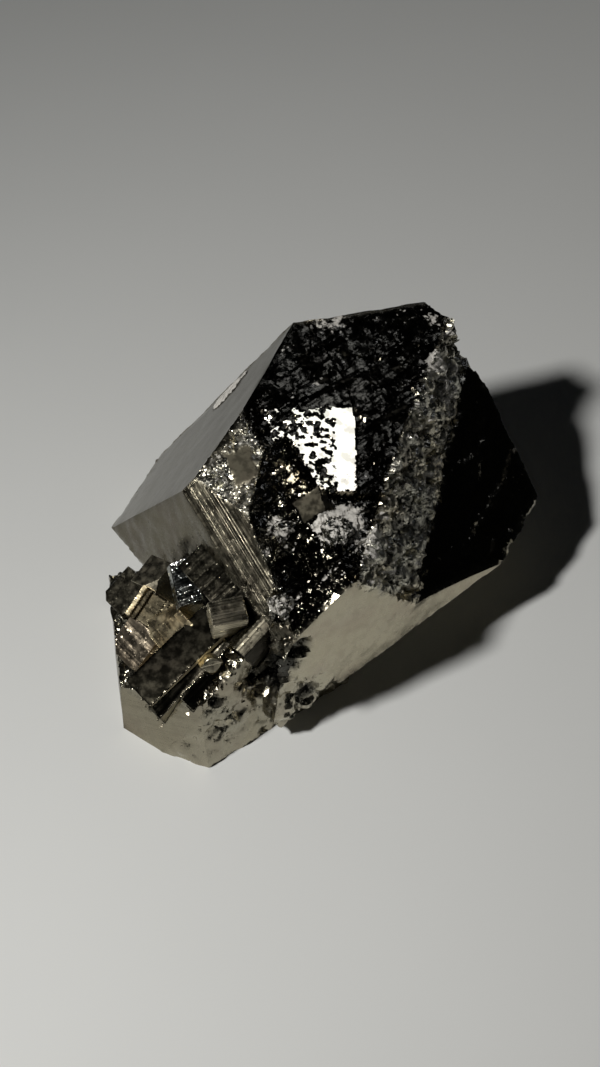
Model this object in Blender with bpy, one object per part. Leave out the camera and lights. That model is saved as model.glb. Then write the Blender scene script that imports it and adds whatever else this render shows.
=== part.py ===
"""Pyrite specimen: one broken main crystal with a cluster of small crystals grown into its lower corner.

A pyrite crystal is bounded by flat faces, so every crystal here is a block that is cut flat by flat. A flat is
given as a geologist measures it: the bearing it looks towards, how far it looks up, and its distance from the
crystal's own centre. The small crystals stand in sockets of the main mass, with a hairline gap all round.
"""

import math
from dataclasses import dataclass

import bmesh
import bpy
from mathutils import Euler, Matrix, Vector

MM = 0.001
BLOCK_HALF = 60.0 * MM  # half side of the rough block that a crystal is cut from
GAP = 0.3 * MM  # clearance between neighbouring crystals
MERGE = 0.00001  # vertices closer than this are one corner


@dataclass(frozen=True)
class Flat:
    """A flat face: the bearing it looks towards, its rise above the horizontal, its distance from the centre."""

    bearing: float  # degrees anticlockwise from +X, seen from above
    rise: float  # degrees above the horizontal
    reach: float  # mm

    def normal(self) -> Vector:
        """Return the direction that the face looks in."""
        bearing = math.radians(self.bearing)
        rise = math.radians(self.rise)
        level = math.cos(rise)
        return Vector((level * math.cos(bearing), level * math.sin(bearing), math.sin(rise)))


@dataclass(frozen=True)
class Crystal:
    """A small crystal: a brick with some corners or edges cut flat."""

    name: str
    top: tuple[float, float, float]  # mm, the middle of its upper face
    turn: tuple[float, float, float]  # degrees: roll, pitch and heading
    size: tuple[float, float, float]  # mm: length, width and depth below the upper face
    cuts: tuple[Flat, ...] = ()  # in the crystal's own axes, measured from the middle of its upper face
    finish: str = "pyrite_facet"


# The base lies in the plane Z = 0. The centre of the main crystal's flats is the point above which it balances.
BASE = Flat(0.0, -90.0, 0.0)

# ---- main crystal ----
MAIN_FLATS = {
    "mirror": Flat(158.0, 35.0, 23.5),  # the large smooth growth face
    "strip": Flat(230.0, 38.0, 23.6),  # the striated growth face beside it
    "corner": Flat(236.0, 72.0, 27.1),  # the sparkling corner above the strip
    "overhang": Flat(216.0, 8.0, 16.5),  # under the mirror face and the strip
    "undercut": Flat(213.0, -35.0, 10.5),  # under the left tip
    "front": Flat(306.0, 0.0, 16.8),  # the pale growth face, front right
    "belly": Flat(327.0, -59.0, 3.7),  # the underside, where it lifts off the ground
    "right_end": Flat(335.0, -25.0, 17.6),
    "rear_right": Flat(29.0, 0.0, 30.0),
    "rear_corner": Flat(50.0, 0.0, 29.9),
    "rear": Flat(108.0, 6.0, 22.2),
    "rear_left": Flat(148.0, 0.0, 24.1),
    "break_crest": Flat(326.0, 79.0, 26.4),
    "break_middle": Flat(313.0, 71.0, 26.1),
}
# The break is notched twice. On the right it drops down a step to a lower shoulder, and beside the striated strip
# it has a hollow with a floor and one wall.
STEP = Flat(340.0, 25.0, 20.0)
SHOULDER = Flat(320.0, 58.0, 18.9)
HOLLOW_FLOOR = Flat(320.0, 58.0, 21.7)
HOLLOW_WALL = Flat(230.0, 60.0, 23.5)
BREAK_NOTCHES = {"step_wedge": (STEP, SHOULDER), "hollow_wedge": (HOLLOW_FLOOR, HOLLOW_WALL)}

# ---- lower mass, which the small crystals grow on ----
LOWER_FLATS = {
    "terrace": Flat(200.0, 62.0, 17.6),
    "left_facet": Flat(220.0, 12.0, 29.8),
    "striated_foot": Flat(234.0, 17.0, 28.7),
    "left_wall": Flat(187.0, 0.0, 24.2),
    "toe": Flat(249.0, 8.0, 29.0),
    "pitted_front": Flat(307.0, 12.0, 14.6),
    "notch_side": Flat(77.0, 0.0, -8.2),
    "right_cut": Flat(0.0, 0.0, 6.0),
}

# ---- small crystals ----
CORNER_RISE = 35.0  # degrees, the rise of a face that cuts a cube's corner evenly
TAPER = (Flat(30.0, 0.0, 1.0), Flat(150.0, 0.0, 1.0), Flat(210.0, 0.0, 1.0), Flat(330.0, 0.0, 1.0))

CRYSTALS = (
    Crystal("beam_crystal", (-14.5, -19.1, 12.2), (7.0, -25.0, 38.0), (13.4, 4.2, 6.0)),
    Crystal("striated_cube", (-8.6, -17.4, 18.2), (15.0, -1.0, 14.0), (3.8, 2.8, 3.2)),
    Crystal("dark_crystal", (-9.4, -11.3, 18.2), (25.0, 3.0, -52.0), (9.0, 6.4, 7.0)),
    Crystal("edge_crystal", (-14.0, -11.6, 16.5), (20.0, 11.0, -77.0), (5.6, 3.2, 5.0), (Flat(270.0, 45.0, 0.8),)),
    Crystal(
        "capped_crystal", (-18.1, -8.4, 14.5), (19.0, -24.0, -47.0), (3.8, 3.8, 5.0), (Flat(317.0, 45.0, 1.2),)
    ),
    Crystal("dark_cube", (-21.6, -7.7, 10.0), (30.0, -1.0, -51.0), (3.8, 4.6, 5.0), (Flat(231.0, 20.0, 2.3),)),
    Crystal("stepped_crystal", (-18.3, -13.0, 13.2), (34.0, 15.0, -31.0), (4.0, 3.8, 5.0)),
    Crystal("gold_crystal", (-15.0, -16.8, 12.6), (38.0, -34.0, 24.0), (4.4, 4.0, 5.0)),
    Crystal(
        "brown_crystal",
        (-20.2, -15.8, 10.0),
        (45.0, 4.0, -49.0),
        (4.6, 4.8, 5.0),
        (Flat(225.0, CORNER_RISE, 2.0), Flat(315.0, CORNER_RISE, 2.2)),
        "pyrite_brown",
    ),
    Crystal(
        "ridge_crystal",
        (-5.0, -18.8, 16.3),
        (18.0, -25.0, 42.0),
        (6.5, 3.4, 5.0),
        (Flat(90.0, 40.0, 0.6), Flat(270.0, 30.0, 0.7)),
    ),
    Crystal("long_slab", (-13.3, -21.2, 10.6), (18.0, -25.0, 41.0), (12.0, 1.6, 5.0)),
    Crystal("short_slab", (-11.1, -22.0, 10.4), (24.0, -23.0, 41.0), (7.0, 2.0, 4.0)),
    Crystal("leaf_crystal", (-10.6, -21.1, 12.6), (59.0, -3.0, 16.0), (2.8, 1.4, 2.0), TAPER),
)

# ---- quartz grains, sunk in the break ----
GRAIN_FACES = 5  # faces in each ring of a grain
GRAINS = {
    "quartz_grain_low": ((-2.2, -17.4, 19.4), 1.3),
    "quartz_grain_middle": ((-2.0, -8.6, 23.0), 1.1),
    "quartz_grain_right": ((4.4, -9.9, 24.0), 1.5),
}


def cut_flat(body: bmesh.types.BMesh, normal: Vector, reach: float) -> None:
    """Cut away what lies beyond a plane, and close the cut with a flat face."""
    parts = list(body.verts) + list(body.edges) + list(body.faces)
    cut = bmesh.ops.bisect_plane(
        body, geom=parts, dist=MERGE, plane_co=normal * reach, plane_no=normal, clear_outer=True
    )
    rim = [part for part in cut["geom_cut"] if isinstance(part, bmesh.types.BMEdge)]
    if rim:
        bmesh.ops.contextual_create(body, geom=rim)


def opposite(flat: Flat) -> Flat:
    """Return the same plane, looking the other way."""
    return Flat(flat.bearing + 180.0, -flat.rise, -flat.reach)


def rough_block() -> bmesh.types.BMesh:
    """Return the block that a crystal is cut from."""
    body = bmesh.new()
    bmesh.ops.create_cube(body, size=2.0 * BLOCK_HALF)
    return body


def crystal_from_flats(flats: list[Flat], grow: float = 0.0) -> bmesh.types.BMesh:
    """Return the convex body that a list of flats encloses, each flat moved outwards by grow."""
    body = rough_block()
    for flat in flats:
        cut_flat(body, flat.normal(), flat.reach * MM + grow)
    return body


def brick_flats(crystal: Crystal) -> list[Flat]:
    """Return the six faces of a small crystal's brick and its own cuts, in the crystal's axes."""
    length, width, depth = crystal.size
    sides = [
        Flat(0.0, 90.0, 0.0),
        Flat(0.0, -90.0, depth),
        Flat(0.0, 0.0, length / 2),
        Flat(180.0, 0.0, length / 2),
        Flat(90.0, 0.0, width / 2),
        Flat(270.0, 0.0, width / 2),
    ]
    return sides + list(crystal.cuts)


def small_crystal(crystal: Crystal, grow: float = 0.0) -> bmesh.types.BMesh:
    """Return a small crystal's body in its place, grown by grow on every face."""
    body = crystal_from_flats(brick_flats(crystal), grow)
    turn = Euler([math.radians(angle) for angle in crystal.turn]).to_matrix().to_4x4()
    body.transform(Matrix.Translation(Vector(crystal.top) * MM) @ turn)
    return body


def grain(middle: tuple[float, float, float], radius: float, grow: float = 0.0) -> bmesh.types.BMesh:
    """Return a roundish many-faced grain around its middle, grown by grow on every face."""
    flats = [Flat(0.0, 90.0, 0.8 * radius), Flat(0.0, -90.0, radius)]
    for step in range(GRAIN_FACES):
        bearing = 360.0 * step / GRAIN_FACES
        flats.append(Flat(bearing, 40.0, radius))
        flats.append(Flat(bearing + 180.0 / GRAIN_FACES, -15.0, radius))
    body = crystal_from_flats(flats, grow)
    body.transform(Matrix.Translation(Vector(middle) * MM))
    return body


def material(name: str, colour: tuple[float, float, float], metallic: float, roughness: float) -> bpy.types.Material:
    """Return a material of one plain colour."""
    made = bpy.data.materials.new(name)
    made.use_nodes = True
    shader = made.node_tree.nodes["Principled BSDF"]
    shader.inputs["Base Color"].default_value = (*colour, 1.0)
    shader.inputs["Metallic"].default_value = metallic
    shader.inputs["Roughness"].default_value = roughness
    return made


def add_object(name: str, body: bmesh.types.BMesh, made_of: bpy.types.Material | None) -> bpy.types.Object:
    """Turn a body into a named object."""
    bmesh.ops.recalc_face_normals(body, faces=body.faces)
    mesh = bpy.data.meshes.new(name)
    body.to_mesh(mesh)
    body.free()
    if made_of is not None:
        mesh.materials.append(made_of)
    piece = bpy.data.objects.new(name, mesh)
    bpy.context.scene.collection.objects.link(piece)
    return piece


def add_cutter(name: str, body: bmesh.types.BMesh) -> bpy.types.Object:
    """Turn a body into a hidden cutter."""
    cutter = add_object(name, body, None)
    cutter.hide_render = True
    cutter.display_type = "WIRE"
    return cutter


def combine(target: bpy.types.Object, other: bpy.types.Object, operation: str) -> None:
    """Join a hidden body to a piece, or cut the piece with it."""
    step = target.modifiers.new(f"{operation.lower()}_{other.name}", "BOOLEAN")
    step.operation = operation
    step.solver = "EXACT"
    step.object = other


def clear_scene() -> None:
    """Remove what the scene holds."""
    for old in list(bpy.data.objects):
        bpy.data.objects.remove(old, do_unlink=True)


def add_main_mass(finish: bpy.types.Material) -> bpy.types.Object:
    """Build the main crystal with its notched break, joined to the lower mass."""
    main = add_object("main_mass", crystal_from_flats([*MAIN_FLATS.values(), BASE]), finish)
    lower = add_cutter("lower_mass", crystal_from_flats([*LOWER_FLATS.values(), BASE]))
    combine(main, lower, "UNION")
    for name, notch in BREAK_NOTCHES.items():
        wedge = add_cutter(name, crystal_from_flats([opposite(flat) for flat in notch]))
        combine(main, wedge, "DIFFERENCE")
    return main


def add_in_socket(
    name: str, bodies: tuple[bmesh.types.BMesh, bmesh.types.BMesh], finish: bpy.types.Material, hosts: list
) -> bpy.types.Object:
    """Add a piece, given as its body and its grown body, and cut its socket in every host."""
    body, grown = bodies
    piece = add_object(name, body, finish)
    socket = add_cutter(f"socket_{name}", grown)
    for host in hosts:
        combine(host, socket, "DIFFERENCE")
    return piece


def stand_on_ground(pieces: list[bpy.types.Object]) -> None:
    """Move everything so that the origin is under the middle of the specimen's box."""
    bpy.context.view_layer.update()
    graph = bpy.context.evaluated_depsgraph_get()
    corners = [Vector(corner) for piece in pieces for corner in piece.evaluated_get(graph).bound_box]
    middle = [(min(axis) + max(axis)) / 2 for axis in zip(*corners)]
    holder = bpy.data.objects.new("specimen", None)
    bpy.context.scene.collection.objects.link(holder)
    for made in list(bpy.data.objects):
        if made is not holder:
            made.parent = holder
    holder.location = (-middle[0], -middle[1], 0.0)


def build() -> None:
    """Build the specimen."""
    clear_scene()
    finishes = {
        "pyrite_mass": material("pyrite_mass", (0.55, 0.50, 0.38), 1.0, 0.28),
        "pyrite_facet": material("pyrite_facet", (0.57, 0.51, 0.36), 1.0, 0.16),
        "pyrite_brown": material("pyrite_brown", (0.48, 0.39, 0.27), 1.0, 0.32),
        "quartz": material("quartz", (0.72, 0.72, 0.68), 0.0, 0.35),
    }
    main = add_main_mass(finishes["pyrite_mass"])
    crystals = []
    for crystal in reversed(CRYSTALS):
        bodies = (small_crystal(crystal), small_crystal(crystal, GAP))
        piece = add_in_socket(crystal.name, bodies, finishes[crystal.finish], [main, *crystals])
        crystals.append(piece)
    grains = []
    for name, (middle, radius) in GRAINS.items():
        bodies = (grain(middle, radius), grain(middle, radius, GAP))
        grains.append(add_in_socket(name, bodies, finishes["quartz"], [main]))
    stand_on_ground([main, *crystals, *grains])


build()
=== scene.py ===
"""Looks of the pyrite specimen: the break, the growth faces, the small crystals and the light."""

import logging
import math
from dataclasses import dataclass, field
from enum import Enum, IntEnum, auto

import bpy
import numpy as np
from mathutils import Matrix, Vector, noise


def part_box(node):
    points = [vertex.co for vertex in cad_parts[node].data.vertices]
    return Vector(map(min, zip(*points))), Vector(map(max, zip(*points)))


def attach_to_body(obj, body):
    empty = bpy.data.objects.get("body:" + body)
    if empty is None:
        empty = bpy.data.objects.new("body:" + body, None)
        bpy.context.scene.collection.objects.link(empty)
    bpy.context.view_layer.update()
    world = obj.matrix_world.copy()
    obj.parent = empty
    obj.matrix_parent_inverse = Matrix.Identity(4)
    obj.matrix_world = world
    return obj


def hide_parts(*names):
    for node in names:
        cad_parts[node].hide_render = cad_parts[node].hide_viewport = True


LOG = logging.getLogger("pyrite")
MM = 0.001
ROOT = "root"

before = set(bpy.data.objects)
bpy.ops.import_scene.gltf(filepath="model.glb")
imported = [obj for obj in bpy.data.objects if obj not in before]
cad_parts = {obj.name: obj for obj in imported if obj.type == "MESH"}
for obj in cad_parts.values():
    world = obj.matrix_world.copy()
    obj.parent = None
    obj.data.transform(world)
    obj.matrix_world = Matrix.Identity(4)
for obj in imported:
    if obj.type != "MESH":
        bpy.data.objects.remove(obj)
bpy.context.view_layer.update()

Field = np.ndarray  # one number for each point
Triple = tuple[float, float, float]
BARELY = 0.02  # a share below this counts as none


class Look(Enum):
    """The finishes, by the names of their materials."""

    MASS = "pyrite_mass"
    FACET = "pyrite_facet"
    BLUE = "pyrite_blue"
    GOLD = "pyrite_gold"
    BROWN = "pyrite_brown"
    QUARTZ = "quartz"


class Axis(IntEnum):
    """A crystal's own axes."""

    LENGTH = 0
    WIDTH = 1
    HEIGHT = 2


class Face(Enum):
    """The faces of the main mass."""

    MIRROR = auto()
    STRIP = auto()
    CORNER = auto()
    OVERHANG = auto()
    UNDERCUT = auto()
    FRONT = auto()
    BELLY = auto()
    RIGHT_END = auto()
    REAR_RIGHT = auto()
    REAR_CORNER = auto()
    REAR = auto()
    REAR_LEFT = auto()
    BREAK_CREST = auto()
    BREAK_MIDDLE = auto()
    STEP = auto()
    SHOULDER = auto()
    HOLLOW_FLOOR = auto()
    HOLLOW_WALL = auto()
    TERRACE = auto()
    STRIATED_FOOT = auto()
    LEFT_WALL = auto()
    TOE = auto()
    PITTED_FRONT = auto()
    NOTCH_SIDE = auto()


# --------------------------------------------------------------------------- directions and flats


@dataclass(frozen=True)
class Facing:
    """The direction that a flat face looks in.

    Args:
        bearing: degrees anticlockwise from +X, seen from above.
        rise: degrees above the horizontal.
    """

    bearing: float
    rise: float

    def normal(self) -> Vector:
        """Work out which way the face looks.

        Returns:
            The outward unit normal.
        """
        bearing = math.radians(self.bearing)
        rise = math.radians(self.rise)
        level = math.cos(rise)
        return Vector((level * math.cos(bearing), level * math.sin(bearing), math.sin(rise)))


@dataclass(frozen=True)
class Flat:
    """A plane in millimetres, as it lies in the specimen's own frame."""

    normal: Vector
    reach: float

    def depth(self, points: np.ndarray) -> Field:
        """Return how far inside the plane each point lies, in millimetres."""
        return self.reach - points @ np.array(self.normal)


def flat_of(node: str, facing: Facing, rank: int = 0) -> Flat:
    """Find one flat face of a CAD node by the direction it looks in.

    Args:
        node: the CAD node's name.
        facing: the direction of the wanted face.
        rank: which one, counted from the outermost, where two faces look the same way.

    Returns:
        The plane that the face lies in.
    """
    normal = facing.normal()
    reaches = set()
    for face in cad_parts[node].data.polygons:
        if face.normal.dot(normal) > 0.9999:
            reaches.add(round(face.center.dot(normal) / MM, 1))
    inwards = sorted(reaches, reverse=True)
    apart = [reach for reach in inwards if round(reach + 0.1, 1) not in reaches]
    if rank >= len(apart):
        raise ValueError(f"{node} has no face number {rank} that looks towards {facing}")
    return Flat(normal, apart[rank])


# --------------------------------------------------------------------------- mesh tools


def only(piece: bpy.types.Object) -> None:
    """Make one object the only selected one, and the active one.

    Args:
        piece: the object.
    """
    bpy.ops.object.select_all(action="DESELECT")
    piece.select_set(True)
    bpy.context.view_layer.objects.active = piece


def apply_modifier(piece: bpy.types.Object, kind: str, **settings: object) -> None:
    """Add a modifier, set it up and apply it.

    Args:
        piece: the object that gets it.
        kind: the modifier's type.
        settings: its properties.
    """
    only(piece)
    made = piece.modifiers.new(kind.lower(), kind)
    for key, value in settings.items():
        setattr(made, key, value)
    bpy.ops.object.modifier_apply(modifier=made.name)


def remesh(piece: bpy.types.Object, detail: int) -> None:
    """Rebuild a piece from small even cells, each step of detail halving their width."""
    apply_modifier(piece, "REMESH", mode="SHARP", octree_depth=detail, scale=0.9, sharpness=1.0)


def copy_of_node(node: str, name: str) -> bpy.types.Object:
    """Copy a CAD node as one closed mesh with whole faces.

    Args:
        node: the CAD node's name.
        name: the new object's name.

    Returns:
        The copy, in the scene.
    """
    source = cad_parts[node]
    piece = bpy.data.objects.new(name, source.data.copy())
    bpy.context.scene.collection.objects.link(piece)
    only(piece)
    bpy.ops.object.mode_set(mode="EDIT")
    bpy.ops.mesh.select_all(action="SELECT")
    bpy.ops.mesh.remove_doubles(threshold=0.00001)
    bpy.ops.mesh.dissolve_limited(angle_limit=math.radians(0.5))
    bpy.ops.object.mode_set(mode="OBJECT")
    return piece


def points_of(piece: bpy.types.Object) -> np.ndarray:
    """Read the vertices of a piece.

    Args:
        piece: the object.

    Returns:
        One place for each vertex, in millimetres.
    """
    flat = np.empty(len(piece.data.vertices) * 3)
    piece.data.vertices.foreach_get("co", flat)
    return flat.reshape(-1, 3) / MM


def normals_of(piece: bpy.types.Object) -> np.ndarray:
    """Read the vertex normals of a piece.

    Args:
        piece: the object.

    Returns:
        One unit vector for each vertex.
    """
    flat = np.empty(len(piece.data.vertices) * 3)
    piece.data.vertices.foreach_get("normal", flat)
    return flat.reshape(-1, 3)


def set_points(piece: bpy.types.Object, points: np.ndarray) -> None:
    """Move the vertices of a piece to new places, in millimetres."""
    piece.data.vertices.foreach_set("co", (points * MM).ravel())
    piece.data.update()


def set_fields(piece: bpy.types.Object, **fields: Field | float) -> None:
    """Keep numbers for each vertex of a piece, for its material.

    Args:
        piece: the object.
        fields: the numbers by the name that the material reads them by; one value stands for all.
    """
    count = len(piece.data.vertices)
    for name, values in fields.items():
        made = piece.data.attributes.new(name, "FLOAT", "POINT")
        made.data.foreach_set("value", np.array(np.broadcast_to(values, count), dtype=np.float32))


def refine(piece: bpy.types.Object, wanted: np.ndarray) -> None:
    """Split the wanted faces of a piece once.

    Args:
        piece: the object.
        wanted: true for each face that is split.
    """
    only(piece)
    bpy.ops.object.mode_set(mode="EDIT")
    bpy.ops.mesh.select_mode(type="FACE")
    bpy.ops.mesh.select_all(action="DESELECT")
    bpy.ops.object.mode_set(mode="OBJECT")
    piece.data.polygons.foreach_set("select", wanted)
    bpy.ops.object.mode_set(mode="EDIT")
    bpy.ops.mesh.subdivide(number_cuts=1)
    bpy.ops.object.mode_set(mode="OBJECT")


def smooth_shading(piece: bpy.types.Object, angle: float) -> None:
    """Shade a piece smooth, with edges sharper than the angle, in degrees, left hard."""
    only(piece)
    bpy.ops.object.shade_smooth_by_angle(angle=math.radians(angle))


# --------------------------------------------------------------------------- relief fields


def smooth_step(low: float, high: float, values: Field) -> Field:
    """Rise smoothly from 0 at low to 1 at high."""
    share = np.clip((values - low) / (high - low), 0.0, 1.0)
    return share * share * (3.0 - 2.0 * share)


def blend(share: Field, first: Field, second: Field | float) -> Field:
    """Return the first where the share is 0 and the second where it is 1."""
    return first * (1.0 - share) + share * second


def waves(points: np.ndarray, size: float, seed: float, octaves: int = 1) -> Field:
    """Return smooth random relief between about -1 and 1.

    Args:
        points: places in millimetres.
        size: width of the largest swell, in millimetres.
        seed: picks another pattern.
        octaves: how many finer layers are added.

    Returns:
        One height for each point.
    """
    shift = np.array((seed * 13.7, seed * 7.1, seed * 3.3))
    places = points / size + shift
    return np.array([noise.fractal(place, 0.9, 2.0, octaves) for place in places.tolist()])


def plates(points: np.ndarray, size: float, seed: float, tilt: float, step: float) -> Field:
    """Return the relief of a hackly break: cells that tilt their own way, each at its own height.

    Args:
        points: places in millimetres.
        size: width of a cell, in millimetres.
        seed: picks another pattern.
        tilt: slope of the cells.
        step: height that neighbouring cells differ by, in millimetres.

    Returns:
        One height for each point.
    """
    shift = np.array((seed * 5.3, seed * 11.9, seed * 2.1))
    heights = []
    for place in (points / size + shift).tolist():
        centre = noise.voronoi(place)[1][0]
        lean = noise.cell_vector(centre * 37.7)
        height = (Vector(place) - centre).dot(lean) * size * tilt
        heights.append(height + step * noise.cell(centre * 91.3))
    return np.array(heights)


def knobs(points: np.ndarray, size: float, seed: float) -> Field:
    """Return rounded knobs.

    Args:
        points: places in millimetres.
        size: width of the room that a knob has, in millimetres.
        seed: picks another pattern.

    Returns:
        One height between 0 and 1 for each point.
    """
    shift = np.array((seed * 3.9, seed * 1.7, seed * 8.3))
    near = np.array([noise.voronoi(place)[0][0] for place in (points / size + shift).tolist()])
    return np.sqrt(np.clip(1.0 - (near / 0.75) ** 2, 0.0, 1.0))


def pits(points: np.ndarray, size: float, seed: float) -> Field:
    """Return round pits of many widths.

    Args:
        points: places in millimetres.
        size: width of the room that a pit has, in millimetres.
        seed: picks another pattern.

    Returns:
        One depth for each point, 1 at the bottom of a pit and 0 outside.
    """
    shift = np.array((seed * 4.7, seed * 2.9, seed * 6.1))
    depth = []
    for place in (points / size + shift).tolist():
        distances, centres = noise.voronoi(place)[:2]
        width = 0.55 * noise.cell(centres[0] * 53.1)
        depth.append(1.0 - distances[0] / width if distances[0] < width else 0.0)
    return smooth_step(0.0, 0.5, np.array(depth))


def lines(across: Field, pitch: float, seed: float) -> Field:
    """Return growth lines: flat-topped steps of uneven width, set only by the place across them.

    Args:
        across: place across the lines, in millimetres.
        pitch: width of a common step, in millimetres.
        seed: picks another pattern.

    Returns:
        One height between -1 and 1 for each point.
    """
    coarse = np.array([noise.noise((value, seed, 0.0)) for value in (across / pitch).tolist()])
    fine = np.array([noise.noise((value, seed, 4.0)) for value in (across / pitch * 2.7).tolist()])
    return np.clip(1.6 * coarse + 0.7 * fine, -1.0, 1.0)


# --------------------------------------------------------------------------- finishes


class NodeSheet:
    """A material's nodes, laid out by code."""

    def __init__(self, name: str) -> None:
        """Start a material with a Principled shader.

        Args:
            name: the material's name.
        """
        self.material = bpy.data.materials.new(name)
        self.material.use_nodes = True
        self.tree = self.material.node_tree
        self.shader = self.tree.nodes["Principled BSDF"]
        self.places = self.add("ShaderNodeTexCoord").outputs["Object"]

    def add(self, kind: str, **settings: object) -> bpy.types.Node:
        """Add a node and set its properties.

        Args:
            kind: the node's type.
            settings: its properties.

        Returns:
            The node.
        """
        node = self.tree.nodes.new(kind)
        for key, value in settings.items():
            setattr(node, key, value)
        return node

    def feed(self, target: bpy.types.NodeSocket, source: object) -> None:
        """Give a socket a link or a value.

        Args:
            target: the socket.
            source: another node's output, or a plain value.
        """
        if isinstance(source, bpy.types.NodeSocket):
            self.tree.links.new(source, target)
        else:
            target.default_value = source

    def scaled(self) -> bpy.types.NodeSocket:
        """Measure places on the piece.

        Returns:
            The place in millimetres.
        """
        node = self.add("ShaderNodeMapping", vector_type="TEXTURE")
        self.feed(node.inputs["Vector"], self.places)
        node.inputs["Scale"].default_value = (MM, MM, MM)
        return node.outputs["Vector"]

    def noise(
        self, scale: float, detail: float = 3.0, rough: float = 0.6, **extra: object
    ) -> bpy.types.NodeSocket:
        """Add a noise texture.

        Args:
            scale: patterns per millimetre.
            detail: how many finer layers it has.
            rough: how strong they are.
            extra: its dimensions, and what feeds its other sockets.

        Returns:
            The noise, about 0.5 on the whole.
        """
        node = self.add("ShaderNodeTexNoise", noise_dimensions=extra.pop("dimensions", "3D"))
        self.feed(node.inputs["Scale"], scale)
        self.feed(node.inputs["Detail"], detail)
        self.feed(node.inputs["Roughness"], rough)
        for key, value in extra.items():
            self.feed(node.inputs[key], value)
        if "W" not in extra and "Vector" not in extra:
            self.feed(node.inputs["Vector"], self.scaled())
        return node.outputs["Fac"]

    def cells(self, scale: float) -> bpy.types.NodeSocket:
        """Add a Voronoi texture.

        Args:
            scale: cells per millimetre.

        Returns:
            A random colour for each cell.
        """
        node = self.add("ShaderNodeTexVoronoi")
        self.feed(node.inputs["Vector"], self.scaled())
        self.feed(node.inputs["Scale"], scale)
        return node.outputs["Color"]

    def math(self, operation: str, *values: object) -> bpy.types.NodeSocket:
        """Add a math node.

        Args:
            operation: what it works out.
            values: what it works on.

        Returns:
            Its result, clamped to no range.
        """
        node = self.add("ShaderNodeMath", operation=operation)
        for socket, value in zip(node.inputs, values):
            self.feed(socket, value)
        return node.outputs[0]

    def span(
        self, value: object, low: float, high: float, out_low: float = 0.0, out_high: float = 1.0
    ) -> bpy.types.NodeSocket:
        """Map a range smoothly to another.

        Args:
            value: what is mapped.
            low: start of its range.
            high: end of its range.
            out_low: what the start becomes.
            out_high: what the end becomes.

        Returns:
            The mapped value, clamped.
        """
        node = self.add("ShaderNodeMapRange", interpolation_type="SMOOTHSTEP")
        for socket, item in zip(node.inputs, (value, low, high, out_low, out_high)):
            self.feed(socket, item)
        return node.outputs[0]

    def mix(self, share: object, first: object, second: object) -> bpy.types.NodeSocket:
        """Mix two colours.

        Args:
            share: how much of the second is used, 0 to 1.
            first: a colour, or what gives one.
            second: the other.

        Returns:
            The mixed colour.
        """
        node = self.add("ShaderNodeMix", data_type="RGBA")
        for name, source in (("Factor", share), ("A", first), ("B", second)):
            plain = isinstance(source, tuple)
            self.feed(node.inputs[name], (*source, 1.0) if plain else source)
        return node.outputs["Result"]

    def attribute(self, name: str) -> bpy.types.NodeSocket:
        """Return a number kept on the mesh."""
        return self.add("ShaderNodeAttribute", attribute_name=name).outputs["Fac"]

    def bump(
        self, height: object, distance: float, strength: object, normal: object
    ) -> bpy.types.NodeSocket:
        """Add a bump node.

        Args:
            height: the relief, 0 to 1.
            distance: its depth, mm.
            strength: how much of it is used, 0 to 1.
            normal: the normal that it bumps.

        Returns:
            The bumped normal.
        """
        node = self.add("ShaderNodeBump")
        node.inputs["Distance"].default_value = distance * MM
        self.feed(node.inputs["Strength"], strength)
        self.feed(node.inputs["Height"], height)
        self.feed(node.inputs["Normal"], normal)
        return node.outputs["Normal"]

    def vector(self, operation: str, *values: object) -> bpy.types.NodeSocket:
        """Add a vector math node.

        Args:
            operation: what it works out.
            values: what it works on.

        Returns:
            Its result, a number for a dot product and a vector for the rest.
        """
        node = self.add("ShaderNodeVectorMath", operation=operation)
        for index, value in enumerate(values):
            scales = operation == "SCALE" and index == 1
            self.feed(node.inputs["Scale" if scales else index], value)
        return node.outputs["Value" if operation == "DOT_PRODUCT" else "Vector"]


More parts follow.
